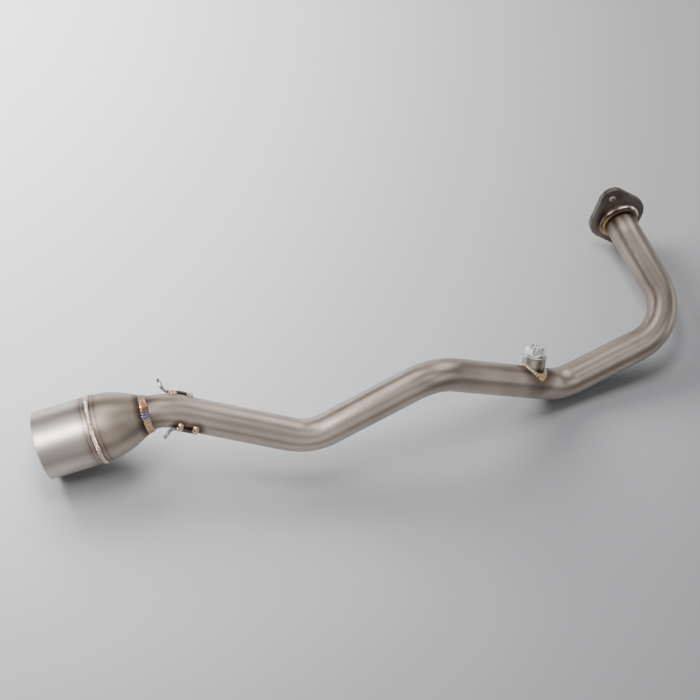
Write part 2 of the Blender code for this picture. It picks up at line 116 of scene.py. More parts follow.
class ShaderGraph:
    """One material and the few ways in which this scene adds nodes to it."""

    MIX_COLOUR_INPUTS = (6, 7)
    MIX_COLOUR_OUTPUT = 2

    def __init__(self, name: str) -> None:
        """Makes an empty material.

        Args:
            name: The material's name.
        """
        self.material = bpy.data.materials.new(name)
        self.material.use_nodes = True
        self.tree = self.material.node_tree
        self.tree.nodes.clear()

    def node(self, kind: str, settings: Optional[dict] = None, inputs: Optional[dict] = None) -> bpy.types.Node:
        """Adds a node, sets its settings, then fills its sockets.

        Args:
            kind: The node's type.
            settings: Attributes of the node. "stops" fills a colour ramp.
            inputs: Values, signals or sockets by input name or index.

        Returns:
            The new node.
        """
        made = self.tree.nodes.new(kind)
        for key, value in (settings or {}).items():
            if key == "stops":
                self._fill_ramp(made.color_ramp, value)
            else:
                setattr(made, key, value)
        for key, value in (inputs or {}).items():
            source = value.socket if isinstance(value, Signal) else value
            if isinstance(source, bpy.types.NodeSocket):
                self.tree.links.new(source, made.inputs[key])
            else:
                made.inputs[key].default_value = source
        return made

    @staticmethod
    def _fill_ramp(ramp: bpy.types.ColorRamp, stops: Sequence[Stop]) -> None:
        """Puts stops in place of the two that a colour ramp starts with.

        Args:
            ramp: The ramp.
            stops: Places from 0 to 1 with their colours.
        """
        while len(ramp.elements) > 1:
            ramp.elements.remove(ramp.elements[-1])
        ramp.elements[0].position = stops[0][0]
        for place, _ in stops[1:]:
            ramp.elements.new(place)
        for element, (_, colour) in zip(ramp.elements, stops):
            element.color = tuple(colour) if len(colour) == 4 else (*colour, 1.0)

    def maths(self, operation: str, *values: Value) -> Signal:
        """One Math node."""
        made = self.node("ShaderNodeMath", {"operation": operation}, dict(enumerate(values)))
        return Signal(self, made.outputs[0])

    def vector_maths(self, operation: str, *values: object) -> bpy.types.Node:
        """One Vector Math node."""
        return self.node("ShaderNodeVectorMath", {"operation": operation}, dict(enumerate(values)))

    def length(self, vector: bpy.types.NodeSocket) -> Signal:
        """A vector's length."""
        return Signal(self, self.vector_maths("LENGTH", vector).outputs["Value"])

    def place(self) -> bpy.types.NodeSocket:
        """The shaded point in the row frame, since every piece's object sits at the origin."""
        return self.node("ShaderNodeTexCoord").outputs["Object"]

    def noise(self, scale: float, detail: float = 2.0) -> Signal:
        """Smooth noise over the row frame.

        Args:
            scale: Features per metre.
            detail: Octaves of finer noise.

        Returns:
            The noise, near 0.5 on average.
        """
        inputs = {"Vector": self.place(), "Scale": scale, "Detail": detail}
        return Signal(self, self.node("ShaderNodeTexNoise", None, inputs).outputs["Fac"])

    def jitter(self, scale: float, detail: float, size: float) -> Signal:
        """Noise about zero, of this size from end to end."""
        return (self.noise(scale, detail) - 0.5) * size

    def attribute(self, name: str) -> Signal:
        """A number stored at each vertex of the mesh."""
        return Signal(self, self.node("ShaderNodeAttribute", {"attribute_name": name}).outputs["Fac"])

    def mix(self, share: Value, first: object, second: object) -> bpy.types.NodeSocket:
        """Mixes two colours.

        Args:
            share: 0 gives the first colour, 1 the second.
            first: A colour or a colour socket.
            second: A colour or a colour socket.

        Returns:
            The mixed colour's socket.
        """
        low, high = self.MIX_COLOUR_INPUTS
        inputs = {0: share, low: self._rgba(first), high: self._rgba(second)}
        return self.node("ShaderNodeMix", {"data_type": "RGBA"}, inputs).outputs[self.MIX_COLOUR_OUTPUT]

    @staticmethod
    def _rgba(colour: object) -> object:
        """A colour with its alpha, or a socket as it is."""
        return (*colour, 1.0) if isinstance(colour, tuple) and len(colour) == 3 else colour

    def ramp(self, signal: Signal, stops: Sequence[Stop]) -> bpy.types.Node:
        """A colour ramp over a signal."""
        return self.node("ShaderNodeValToRGB", {"stops": stops}, {0: signal})

    def relief(self, height: Signal, strength: float, depth: float) -> bpy.types.NodeSocket:
        """A bumped normal."""
        inputs = {"Height": height, "Strength": strength, "Distance": depth}
        return self.node("ShaderNodeBump", None, inputs).outputs[0]

    def surface(self, **inputs: object) -> bpy.types.Material:
        """Ends the graph in one Principled shader.

        Args:
            inputs: Socket values by name, with _ for a space.

        Returns:
            The finished material.
        """
        named = {key.replace("_", " "): self._rgba(value) for key, value in inputs.items()}
        shader = self.node("ShaderNodeBsdfPrincipled", None, named)
        self.node("ShaderNodeOutputMaterial", None, {"Surface": shader.outputs[0]})
        return self.material


# The run of the pipe


@dataclass(frozen=True)
class Bend:
    """One row of the bending table: feed in metres, then roll and bend in degrees."""

    feed: float
    roll: float
    angle: float


@dataclass(frozen=True)
class Station:
    """A place on the axis of the run, in the row frame."""

    origin: Vector
    along: Vector
    side: Vector
    bend_normal: Vector
    squash: float

    @property
    def across(self) -> Vector:
        """The second normal of the axis."""
        return self.along.cross(self.side)

    def spoke(self, clock: float) -> Vector:
        """Unit vector out of the axis at a clock angle in radians."""
        return self.side * math.cos(clock) + self.across * math.sin(clock)

    def reach(self, clock: float, radius: float) -> Vector:
        """The way out to the surface of the tube, which its bends flatten.

        Args:
            clock: Angle round the axis in radians.
            radius: Radius of the round tube.

        Returns:
            The vector from the axis to the surface.
        """
        spoke = self.spoke(clock) * radius
        inward = spoke.dot(self.bend_normal)
        return spoke * (1 + self.squash / 3) - self.bend_normal * inward * self.squash * 4 / 3

    def point(self, axial: float, clock: float, radius: float) -> Vector:
        """A point by its distance along the axis, its clock angle and its radius."""
        return self.origin + self.along * axial + self.spoke(clock) * radius

    def stood_on(self, clock: float, lean: float) -> "Station":
        """A frame whose axis stands on the pipe.

        Args:
            clock: Where it stands round the pipe, in radians.
            lean: How far it leans along the pipe, in radians.

        Returns:
            The frame, as a station.
        """
        spoke = self.spoke(clock)
        axis = spoke * math.cos(lean) + self.along * math.sin(lean)
        return Station(self.origin, axis, self.along * math.cos(lean) - spoke * math.sin(lean), Vector((0, 0, 0)), 0.0)


class Place(NamedTuple):
    """A point of the axis with its tangent and a normal that doesn't twist."""

    origin: Vector
    along: Vector
    side: Vector


class Piece(NamedTuple):
    """A straight or a bend of the run, and the plane that a bend turns in."""

    start: float
    length: float
    place: Place
    plane: Optional[float]


class HeaderRun:
    """The axis of the assembly from the cup's rim to the flange, laid down as it rests."""

    BEND_RADIUS = 52.5 * MM
    OVALITY = 0.04
    TABLE = (
        Bend(111.0 * MM, 142.5, 34.0),
        Bend(119.0 * MM, 174.0, 44.0),
        Bend(97.0 * MM, -149.0, 53.5),
        Bend(144.0 * MM, 173.0, 43.0),
        Bend(81.0 * MM, -66.0, 90.5),
        Bend(61.0 * MM, -113.0, 24.0),
    )
    LAST_FEED = 6.0 * MM
    RIM_CENTRE = Vector((-0.3536797, -0.038799, 0.0330381))
    LAID = Matrix((
        (0.9493597, 0.0039098, -0.3141669), (0.0, 0.9999226, 0.0124439), (0.3141913, -0.0118138, 0.9492862),
    ))

    def __init__(self) -> None:
        """Follows the bending table."""
        self.pieces: list[Piece] = []
        self.length = 0.0
        place = Place(self.RIM_CENTRE, self.LAID @ Vector((1, 0, 0)), self.LAID @ Vector((0, 0, 1)))
        plane = 0.0
        for row in self.TABLE:
            place = self._straight(place, row.feed)
            plane += math.radians(row.roll)
            place = self._bend(place, plane, math.radians(row.angle))
        self._straight(place, self.LAST_FEED)
        self.face = self.length

    def _straight(self, place: Place, feed: float) -> Place:
        """Adds a straight.

        Args:
            place: Where it starts.
            feed: Its length.

        Returns:
            Where it ends.
        """
        self.pieces.append(Piece(self.length, feed, place, None))
        self.length += feed
        return place._replace(origin=place.origin + place.along * feed)

    def _bend(self, place: Place, plane: float, angle: float) -> Place:
        """Adds a bend.

        Args:
            place: Where it starts.
            plane: Angle of the plane that it turns in, in radians from the side normal.
            angle: How far it turns, in radians.

        Returns:
            Where it ends.
        """
        arc = self.BEND_RADIUS * angle
        self.pieces.append(Piece(self.length, arc, place, plane))
        self.length += arc
        return self._turned(place, plane, angle)

    @staticmethod
    def _inward(place: Place, plane: float) -> Vector:
        """The normal that points to a bend's centre."""
        return place.side * math.cos(plane) + place.along.cross(place.side) * math.sin(plane)

    def _turned(self, place: Place, plane: float, angle: float) -> Place:
        """Turns through part of a bend.

        Args:
            place: Where the bend starts.
            plane: Angle of its plane, in radians.
            angle: How far to turn, in radians.

        Returns:
            The place reached.
        """
        normal = self._inward(place, plane)
        turn = Matrix.Rotation(angle, 3, place.along.cross(normal))
        centre = place.origin + normal * self.BEND_RADIUS
        return Place(centre + turn @ (place.origin - centre), turn @ place.along, turn @ place.side)

    def at(self, distance: float) -> Station:
        """The station at a distance from the cup's rim.

        Args:
            distance: Metres along the axis.

        Returns:
            The station there.
        """
        piece = next(p for p in reversed(self.pieces) if distance >= p.start)
        done = distance - piece.start
        place = piece.place
        if piece.plane is None:
            return Station(place.origin + place.along * done, place.along, place.side, Vector((0, 0, 0)), 0.0)
        place = self._turned(place, piece.plane, done / self.BEND_RADIUS)
        squash = self.OVALITY * math.sin(math.pi * min(done / piece.length, 1.0)) ** 0.5
        return Station(*place, self._inward(place, piece.plane), squash)


@dataclass(frozen=True)
class Sizes:
    """Sizes of the CAD pieces that the dressing has to meet."""

    pipe: float = 17.5 * MM
    cup: float = 35.0 * MM
    cup_length: float = 58.0 * MM
    cone_end: float = 107.0 * MM
    cone_end_radius: float = 20.4 * MM
    cone_swell: float = 3.4 * MM
    collar_face: float = -5.55 * MM
    boss_distance: float = 566.0 * MM
    boss_clock: float = math.radians(-47.0)
    boss_lean: float = math.radians(-9.0)
    boss: float = 12.7 * MM

    def cone(self, distance: float) -> float:
        """Outer radius of the reducer cone.

        Args:
            distance: Metres from the cup's rim.

        Returns:
            The radius there.
        """
        share = (distance - self.cup_length) / (self.cone_end - self.cup_length)
        straight = self.cup + (self.cone_end_radius - self.cup) * share
        return straight + self.cone_swell * math.sin(math.pi * min(max(share, 0.0), 1.0))

    def saddle(self, radius: float, turn: float) -> float:
        """Height up the boss's axis at which a ring round it meets the tube.

        Args:
            radius: The ring's radius.
            turn: Angle round the boss in radians.

        Returns:
            The height over the tube's axis.
        """
        offset = radius * math.sin(turn)
        rise = math.sqrt(max(self.pipe ** 2 - offset * offset, 0.0))
        return (rise + radius * math.cos(turn) * math.sin(self.boss_lean)) / math.cos(self.boss_lean)


SIZES = Sizes()
RUN = HeaderRun()
RIM = RUN.at(0.0)
LIP = RUN.at(SIZES.cone_end)
FACE = RUN.at(RUN.face)
BOSS = RUN.at(SIZES.boss_distance).stood_on(SIZES.boss_clock, SIZES.boss_lean)


# Heat tints


class Spread(Enum):
    """How the distance from a weld is measured."""

    PLANE = "along an axis"
    POINT = "from a point"
    AXIS = "away from an axis"


@dataclass(frozen=True)
class HeatTint:
    """Oxide colours that fade with the distance from a weld."""

    spread: Spread
    origin: Vector
    reach: float
    stops: tuple[Stop, ...]
    start: float = 0.0
    waver: float = 0.25
    axis: Optional[Vector] = None
    waver_scale: float = 140.0

    def distance(self, graph: ShaderGraph) -> Signal:
        """Metres from the weld.

        Args:
            graph: The material that gets the nodes.

        Returns:
            The distance as a signal.
        """
        offset = graph.vector_maths("SUBTRACT", graph.place(), tuple(self.origin)).outputs[0]
        if self.spread is Spread.POINT:
            return graph.length(offset)
        if self.spread is Spread.PLANE:
            return abs(Signal(graph, graph.vector_maths("DOT_PRODUCT", offset, tuple(self.axis)).outputs["Value"]))
        return graph.length(graph.vector_maths("CROSS_PRODUCT", offset, tuple(self.axis)).outputs[0])

    def over(self, graph: ShaderGraph, colour: object) -> bpy.types.NodeSocket:
        """Lays the tint over a colour.

        Args:
            graph: The material that gets the nodes.
            colour: The colour below.

        Returns:
            The tinted colour.
        """
        shifted = self.distance(graph) + graph.jitter(self.waver_scale, 3.0, self.reach * self.waver)
        ramp = graph.ramp((shifted - self.start) / self.reach, self.stops)
        return graph.mix(Signal(graph, ramp.outputs["Alpha"]), colour, ramp.outputs["Color"])


def tinted(graph: ShaderGraph, colour: object, tints: Sequence[HeatTint]) -> object:
    """Lays several tints over a colour.

    Args:
        graph: The material that gets the nodes.
        colour: The colour below.
        tints: The tints, from the lowest to the topmost.

    Returns:
        The tinted colour.
    """
    for tint in tints:
        colour = tint.over(graph, colour)
    return colour


# Finishes


# Ends of the soft steps that part one tone from the other
CLOUD_EDGES = (0.3, 0.7)
WORN_EDGES = (0.35, 0.65)
CREST_EDGES = (0.1, 0.75)


@dataclass(frozen=True)
class SatinSteel:
    """Bead-blasted stainless tube and sheet, with an uneven warm tone."""

    name: str
    light: Colour = (0.55, 0.465, 0.40)
    dark: Colour = (0.44, 0.365, 0.31)
    roughness: float = 0.40
    uneven: float = 0.10
    cloud_scale: float = 16.0
    patch_scale: float = 60.0
    grit_scale: float = 1400.0
    grit: float = 0.06
    grit_depth: float = 0.2 * MM

    def material(self, tints: Sequence[HeatTint] = ()) -> bpy.types.Material:
        """Makes the material.

        Args:
            tints: Heat tints to lay over the steel.

        Returns:
            The material.
        """
        graph = ShaderGraph(self.name)
        cloud = graph.noise(self.cloud_scale, 3.0).smooth(*CLOUD_EDGES)
        return graph.surface(
            Base_Color=tinted(graph, graph.mix(cloud, self.dark, self.light), tints),
            Metallic=1.0,
            Roughness=self.roughness + graph.jitter(self.patch_scale, 4.0, self.uneven),
            Normal=graph.relief(graph.noise(self.grit_scale), self.grit, self.grit_depth),
        )


@dataclass(frozen=True)
class WeldMetal:
    """Rippled weld metal with oxide colours that change along the bead."""

    name: str
    along: tuple[Stop, ...]
    valley: Colour = (0.16, 0.085, 0.05)
    roughness: float = 0.24
    sparkle: float = 0.3
    sparkle_scale: float = 600.0
    sparkle_depth: float = 0.7 * MM
    valley_roughness: float = 0.15
    shift: float = 0.06
    shift_scale: float = 300.0

    def material(self) -> bpy.types.Material:
        """Makes the material.

        Returns:
            The material, for a mesh that stores bead_turn and bead_crest.
        """
        graph = ShaderGraph(self.name)
        turn = graph.attribute("bead_turn") + graph.jitter(self.shift_scale, 2.0, self.shift)
        crest = graph.attribute("bead_crest").smooth(*CREST_EDGES)
        return graph.surface(
            Base_Color=graph.mix(crest, self.valley, graph.ramp(turn, self.along).outputs["Color"]),
            Metallic=1.0,
            Roughness=self.roughness + (1.0 - crest) * self.valley_roughness,
            Normal=graph.relief(graph.noise(self.sparkle_scale, 3.0), self.sparkle, self.sparkle_depth),
        )


@dataclass(frozen=True)
class FlangeSteel:
    """Dull heat-browned plate."""

    name: str
    light: Colour = (0.25, 0.225, 0.20)
    dark: Colour = (0.15, 0.125, 0.11)
    roughness: float = 0.5
    uneven: float = 0.2
    cloud_scale: float = 55.0
    patch_scale: float = 90.0
    grit_scale: float = 900.0
    grit: float = 0.12
    grit_depth: float = 0.3 * MM

    def material(self, tints: Sequence[HeatTint] = ()) -> bpy.types.Material:
        """Makes the material.

        Args:
            tints: Heat tints to lay over the plate.

        Returns:
            The material.
        """
        graph = ShaderGraph(self.name)
        cloud = graph.noise(self.cloud_scale, 4.0).smooth(*CLOUD_EDGES)
        return graph.surface(
            Base_Color=tinted(graph, graph.mix(cloud, self.dark, self.light), tints),
            Metallic=1.0,
            Roughness=self.roughness + graph.jitter(self.patch_scale, 3.0, self.uneven),
            Normal=graph.relief(graph.noise(self.grit_scale, 3.0), self.grit, self.grit_depth),
        )


@dataclass(frozen=True)
class BrightMetal:
    """Turned, drawn or plated metal with fine tool marks."""

    name: str
    tone: Colour
    roughness: float
    marks: float = 0.04
    marks_scale: float = 2200.0
    marks_depth: float = 0.4 * MM
    cloud_scale: float = 220.0
    uneven: float = 0.12
    worn: float = 0.86

    def material(self, tints: Sequence[HeatTint] = ()) -> bpy.types.Material:
        """Makes the material.

        Args:
            tints: Heat tints to lay over the metal.

        Returns:
            The material.
        """
        graph = ShaderGraph(self.name)
        cloud = graph.noise(self.cloud_scale, 3.0)
        worn = tuple(c * self.worn for c in self.tone)
        return graph.surface(
            Base_Color=tinted(graph, graph.mix(cloud.smooth(*WORN_EDGES), worn, self.tone), tints),
            Metallic=1.0,
            Roughness=self.roughness + (cloud - 0.5) * self.uneven,
            Normal=graph.relief(graph.noise(self.marks_scale), self.marks, self.marks_depth),
        )


# Meshes


def add_piece(name: str, points: Sequence[Vector], faces: Sequence[Sequence[int]]) -> bpy.types.Object:
    """Adds a smooth mesh that rides on the root body.

    Args:
        name: The piece's name.
        points: Vertices in the row frame.
        faces: Vertex indices of each face.

    Returns:
        The new object.
    """
    mesh = bpy.data.meshes.new(name)
    mesh.from_pydata([tuple(p) for p in points], [], [tuple(f) for f in faces])
    mesh.shade_smooth()
    piece = bpy.data.objects.new(name, mesh)
    bpy.context.scene.collection.objects.link(piece)
    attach(piece, ROOT)
    return piece


def put_finish(piece: bpy.types.Object, material: bpy.types.Material) -> None:
    """Makes a material the only one of a piece."""
    piece.data.materials.clear()
    piece.data.materials.append(material)


class Smoother:
    """The modifier that joins a CAD node's loose triangles and shades its round faces smooth."""

    MERGE = 2e-6

    def __init__(self, sharp_degrees: float) -> None:
        """Builds the node group.

        Args:
            sharp_degrees: Edges that turn by more than this stay sharp.
        """
        group = bpy.data.node_groups.new(f"smooth_below_{sharp_degrees:g}", "GeometryNodeTree")
        group.interface.new_socket("Geometry", in_out="INPUT", socket_type="NodeSocketGeometry")
        group.interface.new_socket("Geometry", in_out="OUTPUT", socket_type="NodeSocketGeometry")
        nodes, links = group.nodes, group.links
        plain = nodes.new("GeometryNodeRemoveAttribute")
        plain.inputs["Name"].default_value = "custom_normal"
        merge = nodes.new("GeometryNodeMergeByDistance")
        merge.inputs["Distance"].default_value = self.MERGE
        faces = nodes.new("GeometryNodeSetShadeSmooth")
        faces.inputs["Shade Smooth"].default_value = True
        edges = nodes.new("GeometryNodeSetShadeSmooth")
        edges.domain = "EDGE"
        chain = [nodes.new("NodeGroupInput"), plain, merge, faces, edges, nodes.new("NodeGroupOutput")]
        for before, after in zip(chain, chain[1:]):
            links.new(before.outputs[0], after.inputs[0])
        angle = nodes.new("GeometryNodeInputMeshEdgeAngle")
        test = nodes.new("FunctionNodeCompare")
        test.operation = "LESS_THAN"
        test.inputs[1].default_value = math.radians(sharp_degrees)
        links.new(angle.outputs["Unsigned Angle"], test.inputs[0])
        links.new(test.outputs[0], edges.inputs["Shade Smooth"])
        self.group = group

    def dress(self, node: str, material: bpy.types.Material) -> None:
        """Smooths a CAD node and gives it its finish.

        Args:
            node: The CAD node's name.
            material: The finish.
        """
        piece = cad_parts[node]
        piece.modifiers.new("smooth_shading", "NODES").node_group = self.group
        put_finish(piece, material)


# Weld beads


CROWN_FLATNESS = 2.4
CROWN_EDGE = 0.6
DROP_ROUNDNESS = 0.7
WEAVES = ((3, 0.06, 1), (7, 0.04, 2))  # waves round the seam, their size and how far the seed shifts them


def crown(cross: float, edge: float = CROWN_EDGE) -> float:
    """Height share of a round crown from -1 to 1, which drops at its ends by the edge's exponent."""
    return max(0.0, 1.0 - abs(cross) ** CROWN_FLATNESS) ** edge


def swell(cross: float, crest: float, depth: float) -> float:
    """Height share of a bead at a place across it: a round crown, lower in the valleys."""
    return crown(cross) * (1.0 - depth * (1.0 - crest))


def drop_crest(drops: float, cross: float, bow: float, lean: float) -> float:
    """Height share of a drop between two valleys.

    Args:
        drops: Distance along the bead in drops.
        cross: From -1 at one edge of the bead to 1 at the other.
        bow: How far the valleys curve back at the edges, in drops.
        lean: Below 1, the crest lies nearer the drop's start.

    Returns:
        0 in a valley and 1 on a crest.
    """
    phase = (drops + bow * cross * cross) % 1.0
    return math.sin(math.pi * phase ** lean) ** DROP_ROUNDNESS


@dataclass(frozen=True)
class Ripples:
    """The stacked drops of a weld bead."""

    pitch: float
    depth: float = 0.5
    seed: float = 0.0
    bow: float = 0.55
    lean: float = 0.72
    samples: int = 8

    def count(self, length: float) -> int:
        """How many drops fit a length."""
        return max(2, round(length / self.pitch))

    def crest(self, drops: float, cross: float) -> float:
        """Height share of the bead between two valleys."""
        return drop_crest(drops, cross, self.bow, self.lean)

    def weave(self, turn: float) -> float:
        """Slow change of the bead's size, as a hand leaves it."""
        return 1.0 + sum(size * math.sin(waves * turn + shift * self.seed) for waves, size, shift in WEAVES)


@dataclass
class BeadMesh:
    """The vertices of a bead, with the two numbers that its shader reads at each."""

    points: list[Vector] = field(default_factory=list)
    crests: list[float] = field(default_factory=list)
    turns: list[float] = field(default_factory=list)

    def add(self, point: Vector, crest: float, turn: float) -> None:
        """Adds a vertex.

        Args:
            point: Where it is.
            crest: 0 in a valley and 1 on a drop's crest.
            turn: How far along the bead it is, from 0 to 1.
        """
        self.points.append(point)
        self.crests.append(crest)
        self.turns.append(turn)

    def lay(self, node: str, faces: Sequence[Sequence[int]], finish: WeldMetal) -> None:
        """Adds the mesh in place of a CAD bead.

        Args:
            node: The CAD node that it stands for.
            faces: Vertex indices of each face.
            finish: Its weld metal.
        """
        piece = add_piece(node + "_bead", self.points, faces)
        for name, values in (("bead_crest", self.crests), ("bead_turn", self.turns)):
            piece.data.attributes.new(name, "FLOAT", "POINT").data.foreach_set("value", values)
        put_finish(piece, finish.material())
        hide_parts(node)


class WeldBead:
    """A bead of stacked drops on a closed seam, in place of a CAD bead."""

    CROSS_STEPS = 14

    def __init__(self, node: str, finish: WeldMetal, ripples: Ripples, radius: float) -> None:
        """Keeps what the bead is made from.

        Args:
            node: The CAD node that it stands for.
            finish: Its weld metal.
            ripples: Its drops.
            radius: The seam's radius in metres.
        """
        self.node = node
        self.finish = finish
        self.ripples = ripples
        self.drops = ripples.count(math.tau * radius)

    def point(self, turn: float, cross: float, crest: float) -> Vector:
        """A point of the bead's surface.

        Args:
            turn: Angle round the seam in radians.
            cross: From -1 at one edge of the bead to 1 at the other.
            crest: 0 in a valley and 1 on a drop's crest.

        Returns:
            The point in the row frame.
        """
        raise NotImplementedError

    def build(self) -> None:
        """Makes the bead's mesh, a closed tube round the seam."""
        mesh = BeadMesh()
        rings = self.drops * self.ripples.samples
        steps = self.CROSS_STEPS
        for i in range(rings):
            share = i / rings
            for j in range(steps + 1):
                cross = 2 * j / steps - 1
                crest = self.ripples.crest(share * self.drops, cross)
                mesh.add(self.point(share * math.tau, cross, crest), crest, share)
        faces = []
        width = steps + 1
        for i in range(rings):
            here, there = i * width, (i + 1) % rings * width
            faces += [(here + j, here + j + 1, there + j + 1, there + j) for j in range(steps)]
            faces.append((here + steps, here, there, there + steps))
        mesh.lay(self.node, faces, self.finish)


class CupSeam(WeldBead):
    """The narrow seam between the outlet cup and the reducer cone, in two passes that part below."""

    HALF_WIDTH = 2.4 * MM
    HEIGHT = 1.4 * MM
    GROOVE_WIDTH = 0.3
    MERGED_GROOVE = 0.12
    PARTED_GROOVE = 0.5
    MERGED_FROM = math.radians(-38.0)
    MERGED_TO = math.radians(52.0)
    PARTING_ARC = 0.25

    def parting(self, turn: float) -> float:
        """How far the two passes stand apart.

        Args:
            turn: Angle round the seam in radians.

        Returns:
            0 where they merge and 1 where they part.
        """
        middle = (self.MERGED_FROM + self.MERGED_TO) / 2
        half = (self.MERGED_TO - self.MERGED_FROM) / 2
        away = abs(math.remainder(turn - middle, math.tau)) - half
        return min(max(away / self.PARTING_ARC + 0.5, 0.0), 1.0)

    def point(self, turn: float, cross: float, crest: float) -> Vector:
        """A point of a low crown over the joint, with a groove between the passes.

        Args:
            turn: Angle round the seam in radians.
            cross: -1 on the cup and 1 on the cone.
            crest: 0 in a valley and 1 on a drop's crest.

        Returns:
            The point in the row frame.
        """
        size = self.ripples.weave(turn)
        groove = self.MERGED_GROOVE + self.PARTED_GROOVE * self.parting(turn)
        distance = SIZES.cup_length + cross * self.HALF_WIDTH * size
        base = SIZES.cone(distance) if cross > 0 else SIZES.cup
        lift = self.HEIGHT * size * swell(cross, crest, self.ripples.depth)
        lift *= 1.0 - groove * math.exp(-((cross / self.GROOVE_WIDTH) ** 2))
        return RIM.point(distance, turn, base - SEATING + lift)


class ConeSeam(WeldBead):
    """The broad fillet between the cone's end and the pipe, in overlapping discs."""

    SINK = 0.4 * MM
    WIDTH = 7.8 * MM
    HEIGHT = 1.1 * MM
    SLOPE = 1.3

    def point(self, turn: float, cross: float, crest: float) -> Vector:
        """A point of a slope from the cone's end down to the pipe.

        Args:
            turn: Angle round the seam in radians.
            cross: -1 on the cone and 1 on the pipe.
            crest: 0 in a valley and 1 on a drop's crest.

        Returns:
            The point in the row frame.
        """
        size = self.ripples.weave(turn)
        top = SIZES.cone_end_radius - 2 * self.SINK
        foot = SIZES.pipe - SEATING
        share = (cross + 1) / 2
        axial = -self.SINK + (self.SINK + self.WIDTH * size) * share
        lift = self.HEIGHT * size * swell(cross, crest, self.ripples.depth)
        return LIP.point(axial, turn, top + (foot - top) * share ** self.SLOPE + lift)


class CollarSeam(WeldBead):
    """The fillet between the pipe and the flange's collar."""

    LEG = 3.7 * MM
    OVERLAP = 0.3 * MM
    BULGE = 0.125
    RIPPLED_BULGE = 0.275

    def point(self, turn: float, cross: float, crest: float) -> Vector:
        """A point of a quarter-round fillet.

        Args:
            turn: Angle round the seam in radians.
            cross: -1 on the pipe and 1 on the collar.
            crest: 0 in a valley and 1 on a drop's crest.

        Returns:
            The point in the row frame.
        """
        leg = self.LEG * self.ripples.weave(turn)
        share = (cross + 1) / 2
        bulge = self.BULGE + self.RIPPLED_BULGE * swell(cross, crest, self.ripples.depth)
        arch = leg * bulge * math.sin(math.pi * share)
        back = leg * (1 - share) + arch
        return FACE.point(SIZES.collar_face + self.OVERLAP - back, turn, SIZES.pipe - SEATING + leg * share + arch)


class BossSaddle(WeldBead):
    """The beaded fillet round the foot of the sensor boss, on the round of the pipe."""

    RISE = 1.9 * MM
    TOE = 2.7 * MM
    FLANK = 4.0 * MM
    BULGE = 0.09
    RIPPLED_BULGE = 0.45

    def point(self, turn: float, cross: float, crest: float) -> Vector:
        """A point of a fillet on the saddle curve, widest where the pipe falls away from the boss.

        Args:
            turn: Angle round the boss in radians.
            cross: -1 on the pipe and 1 on the boss.
            crest: 0 in a valley and 1 on a drop's crest.

        Returns:
            The point in the row frame.
        """
        weave = self.ripples.weave(turn)
        toe = (self.TOE + (self.FLANK - self.TOE) * math.sin(turn) ** 2) * weave
        share = (cross + 1) / 2
        bulge = self.BULGE + self.RIPPLED_BULGE * swell(cross, crest, self.ripples.depth)
        arch = self.RISE * bulge * math.sin(math.pi * share)
        radius = SIZES.boss - SEATING + toe * (1 - share) + arch / 2
        return BOSS.point(SIZES.saddle(radius, turn) - SEATING + self.RISE * weave * share + arch, turn, radius)


@dataclass(frozen=True)
class HookTack:
    """A tack weld over a hook's wire that runs out on the tube, in place of a CAD tack."""

    node: str
    distance: float
    clock: float
    finish: WeldMetal
    length: float = 7.4 * MM
    height: float = 4.6 * MM
    behind: float = 2.9 * MM
    run_out: float = 7.2 * MM
    sink: float = 0.1 * MM
    end_run_out: float = 0.55
    end_edge: float = 0.5
    rear_rise: float = 0.8
    front_rise: float = 1.35
    ripple: float = 0.1
    drops: float = 3.0
    bow: float = 0.35
    lean: float = 0.8
    rings: int = 44
    steps: int = 30

    def profile(self, share: float, dome: float, crest: float) -> tuple[float, float]:
        """A place across the tack.

        Args:
            share: 0 behind the wire, 1 where the puddle ends on the tube.
            dome: Size of the tack here, from 0 at its ends to 1 in its middle.
            crest: 0 in a valley and 1 on a drop's crest.

        Returns:
            The distance round the tube from under the wire, and the height over the tube.
        """
        turn = math.pi * share
        if turn < math.pi / 2:
            reach, steepness = self.behind, self.rear_rise
        else:
            reach = self.run_out * (self.end_run_out + (1.0 - self.end_run_out) * dome)
            steepness = self.front_rise
        rise = math.sin(turn) ** steepness * (1.0 - self.ripple * (1.0 - crest))
        return -reach * math.cos(turn), self.height * dome * rise

    def build(self) -> None:
        """Makes the tack, a sheet of metal that ends inside the tube."""
        mesh = BeadMesh()
        side = -math.copysign(1.0, self.clock)
        for i in range(self.rings + 1):
            share = i / self.rings
            station = RUN.at(self.distance + self.length * (share - 0.5))
            dome = crown(2 * share - 1, self.end_edge)
            for j in range(self.steps + 1):
                crest = drop_crest(share * self.drops, 2 * j / self.steps - 1, self.bow, self.lean)
                reach, rise = self.profile(j / self.steps, dome, crest)
                clock = self.clock + side * reach / SIZES.pipe
                foot = station.origin + station.reach(clock, SIZES.pipe - self.sink)
                mesh.add(foot + station.spoke(clock) * rise, crest, share)
        faces = []
        width = self.steps + 1
        for i in range(self.rings):
            here, there = i * width, (i + 1) * width
            faces += [(here + j, here + j + 1, there + j + 1, there + j) for j in range(self.steps)]
        mesh.lay(self.node, faces, self.finish)


# Oxide colours


